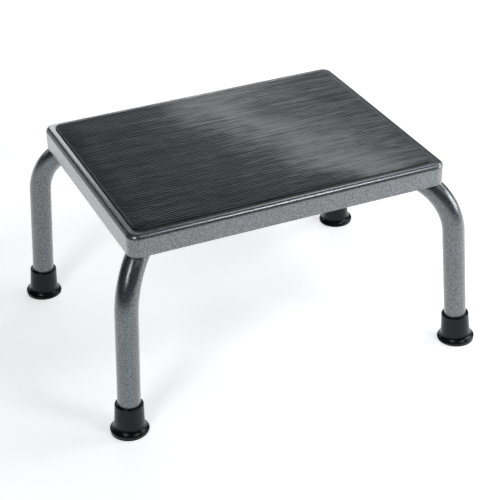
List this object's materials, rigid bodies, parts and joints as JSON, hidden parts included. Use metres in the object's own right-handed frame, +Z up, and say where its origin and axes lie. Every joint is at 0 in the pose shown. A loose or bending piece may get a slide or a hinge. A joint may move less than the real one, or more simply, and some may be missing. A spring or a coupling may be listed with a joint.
{
  "type": "foot stool",
  "caption": "One-step foot stool: a pressed steel platform with a ribbed rubber mat, carried by two bent-tube leg frames with splayed legs on flared rubber tips.",
  "frame": {"origin": "on the floor, under the middle of the stool", "axes": "+X along the platform's long side, +Y towards the back long side, +Z up"},
  "size_m": [0.4482, 0.3518, 0.2315],
  "materials": {
    "painted_pan": "hammered silver-grey enamel, semi-gloss",
    "painted_tube": "hammered silver-grey enamel, semi-gloss",
    "painted_channel": "hammered silver-grey enamel, thin coat",
    "mat_rubber": "fine-ribbed moulded rubber, slight sheen",
    "tip_rubber": "moulded rubber, semi-gloss",
    "adhesive": "clear-amber contact adhesive film",
    "zinc_steel": "bright zinc plate"
  },
  "bodies": {
    "root": {"platform_pan": "painted_pan", "mat_adhesive": "adhesive", "tread_mat": "mat_rubber", "leg_frame_left": "painted_tube", "stiffener_channel_left": "painted_channel", "weld_studs_left": "zinc_steel", "saddle_washers_left": "zinc_steel", "lock_washers_left": "zinc_steel", "cap_nuts_left": "zinc_steel", "rubber_tip_front_left": "tip_rubber", "tip_washer_front_left": "zinc_steel", "rubber_tip_back_left": "tip_rubber", "tip_washer_back_left": "zinc_steel", "leg_frame_right": "painted_tube", "stiffener_channel_right": "painted_channel", "weld_studs_right": "zinc_steel", "saddle_washers_right": "zinc_steel", "lock_washers_right": "zinc_steel", "cap_nuts_right": "zinc_steel", "rubber_tip_front_right": "tip_rubber", "tip_washer_front_right": "zinc_steel", "rubber_tip_back_right": "tip_rubber", "tip_washer_back_right": "zinc_steel"}
  },
  "joints": []
}
